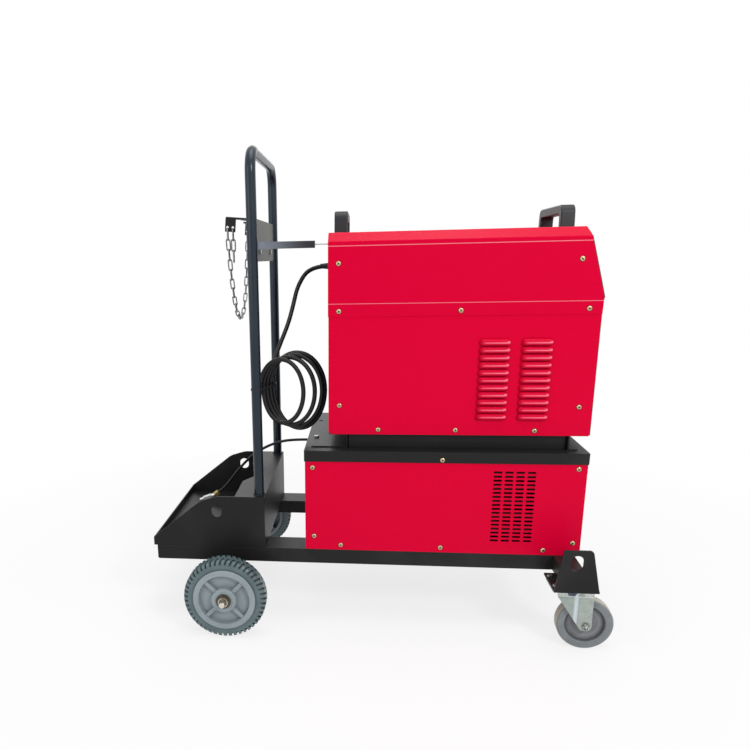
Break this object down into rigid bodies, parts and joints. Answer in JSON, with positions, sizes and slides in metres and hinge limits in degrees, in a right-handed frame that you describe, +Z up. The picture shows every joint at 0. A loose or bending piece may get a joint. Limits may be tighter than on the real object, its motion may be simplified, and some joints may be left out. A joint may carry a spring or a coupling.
{
  "type": "cart mounted plasma cutter",
  "caption": "Plasma cutting power source on a water cooling unit, carried by a steel cart with gas bottle tray, chain, push handle, rear wheels and front casters.",
  "frame": {"origin": "on the floor, in the middle of the footprint of everything but the loose cords", "axes": "+X to the front end with the casters, +Y to the far side, +Z up"},
  "size_m": [1.1398, 0.722, 1.176],
  "materials": {
    "black_coat": "satin black powder coat",
    "black_tube": "glossy black paint",
    "red_coat": "satin red powder coat",
    "dark_panel": "black powder coat",
    "zinc": "bright zinc plating",
    "yellow_zinc": "yellow zinc plating",
    "steel": "plain steel",
    "hub_grey": "moulded grey hub",
    "tyre_grey": "moulded rubber",
    "caster_grey": "grey rubber tread on a plastic rim",
    "black_plastic": "moulded black plastic",
    "cord_black": "black rubber sheath",
    "hose_black": "black rubber hose",
    "brass": "turned brass",
    "aluminium": "extruded",
    "core_steel": "laminated core",
    "board_green": "circuit board",
    "tank_white": "blow moulded tank"
  },
  "bodies": {
    "cart": {"rail_near": "black_coat", "rail_far": "black_coat", "cross_tubes": "black_coat", "caster_bracket_near": "black_coat", "caster_bracket_far": "black_coat", "bottle_tray": "black_coat", "handle_tube": "black_tube", "handle_cross_plate": "black_coat", "bottle_yoke": "black_coat", "stay_arm": "black_coat", "axle_housing": "black_coat", "rear_axle": "zinc", "caster_mounts": "zinc", "cart_bolts": "zinc", "cooler_base": "red_coat", "cooler_side_near": "red_coat", "cooler_side_far": "red_coat", "cooler_front_panel": "dark_panel", "cooler_rear_panel": "dark_panel", "cooler_lid": "black_coat", "cooler_screws": "yellow_zinc", "coolant_tank": "tank_white", "coolant_pump": "black_plastic", "radiator": "aluminium", "unit_brackets": "black_coat", "source_base": "black_coat", "source_side_near": "red_coat", "source_side_far": "red_coat", "source_hood": "red_coat", "source_front_panel": "dark_panel", "source_rear_panel": "dark_panel", "source_screws": "yellow_zinc", "top_handle_rear": "black_plastic", "top_handle_front": "black_plastic", "heatsink": "aluminium", "transformer": "core_steel", "control_board": "board_green", "panel_sockets": "brass", "mains_cable": "cord_black", "mains_coil": "cord_black", "coil_strap": "black_plastic", "gas_hose": "hose_black", "hose_fitting": "brass"},
    "rear_wheel_near": {"rear_hub_near": "hub_grey", "rear_tyre_near": "tyre_grey"},
    "rear_wheel_far": {"rear_hub_far": "hub_grey", "rear_tyre_far": "tyre_grey"},
    "caster_swivel_near": {"caster_fork_near": "zinc"},
    "caster_swivel_far": {"caster_fork_far": "zinc"},
    "caster_roller_near": {"caster_wheel_near": "caster_grey"},
    "caster_roller_far": {"caster_wheel_far": "caster_grey"},
    "chain": {"bottle_chain": "zinc"},
    "chain_end": {"chain_tail": "zinc"},
    "source_fan": {"source_fan_rotor": "black_plastic"},
    "cooler_fan": {"cooler_fan_rotor": "black_plastic"},
    "knob": {"current_knob": "black_plastic"},
    "toggle": {"mode_switch": "zinc"},
    "rocker": {"cooler_switch": "black_plastic"},
    "breaker": {"breaker_lever": "black_plastic"},
    "cap": {"filler_cap": "black_plastic"}
  },
  "joints": [
    {"name": "rear_wheel_near_turn", "type": "hinge", "parent": "cart", "child": "rear_wheel_near", "pos_m": [-0.36785, -0.3055, 0.104], "axis": [0, 1, 0], "continuous": true},
    {"name": "rear_wheel_far_turn", "type": "hinge", "parent": "cart", "child": "rear_wheel_far", "pos_m": [-0.36785, 0.3055, 0.104], "axis": [0, 1, 0], "continuous": true},
    {"name": "caster_swivel_near_turn", "type": "hinge", "parent": "cart", "child": "caster_swivel_near", "pos_m": [0.46715, -0.2925, 0.15], "axis": [0, 0, 1], "continuous": true},
    {"name": "caster_swivel_far_turn", "type": "hinge", "parent": "cart", "child": "caster_swivel_far", "pos_m": [0.46715, 0.2925, 0.15], "axis": [0, 0, 1], "continuous": true},
    {"name": "caster_wheel_near_turn", "type": "hinge", "parent": "caster_swivel_near", "child": "caster_roller_near", "pos_m": [0.50406, -0.29508, 0.065], "axis": [0.0698, 0.9976, 0], "continuous": true},
    {"name": "caster_wheel_far_turn", "type": "hinge", "parent": "caster_swivel_far", "child": "caster_roller_far", "pos_m": [0.50387, 0.29701, 0.065], "axis": [-0.1219, 0.9925, 0], "continuous": true},
    {"name": "chain_swing", "type": "hinge", "parent": "cart", "child": "chain", "pos_m": [-0.3572, 0, 0.99426], "axis": [0, 1, 0], "range_deg": [0, 60]},
    {"name": "chain_end_swing", "type": "hinge", "parent": "cart", "child": "chain_end", "pos_m": [-0.34425, -0.148, 0.99313], "axis": [0, 1, 0], "range_deg": [-35, 0]},
    {"name": "source_fan_turn", "type": "hinge", "parent": "cart", "child": "source_fan", "pos_m": [-0.10685, 0, 0.68], "axis": [1, 0, 0], "continuous": true},
    {"name": "cooler_fan_turn", "type": "hinge", "parent": "cart", "child": "cooler_fan", "pos_m": [0.3351, -0.17, 0.325], "axis": [0, 1, 0], "continuous": true},
    {"name": "knob_turn", "type": "hinge", "parent": "cart", "child": "knob", "pos_m": [0.48516, 0.07, 0.91118], "axis": [0.9639, 0, 0.2661], "range_deg": [-135, 135]},
    {"name": "toggle_tilt", "type": "hinge", "parent": "cart", "child": "toggle", "pos_m": [0.49465, 0.14, 0.8806], "axis": [0, 1, 0], "range_deg": [0, 24]},
    {"name": "rocker_tilt", "type": "hinge", "parent": "cart", "child": "rocker", "pos_m": [0.49605, 0.15, 0.405], "axis": [0, 1, 0], "range_deg": [-12, 0]},
    {"name": "breaker_tilt", "type": "hinge", "parent": "cart", "child": "breaker", "pos_m": [-0.11035, 0.15, 0.85], "axis": [0, 1, 0], "range_deg": [-60, 0]},
    {"name": "cap_turn", "type": "hinge", "parent": "cart", "child": "cap", "pos_m": [0.50815, -0.14, 0.405], "axis": [1, 0, 0], "range_deg": [0, 90]}
  ]
}
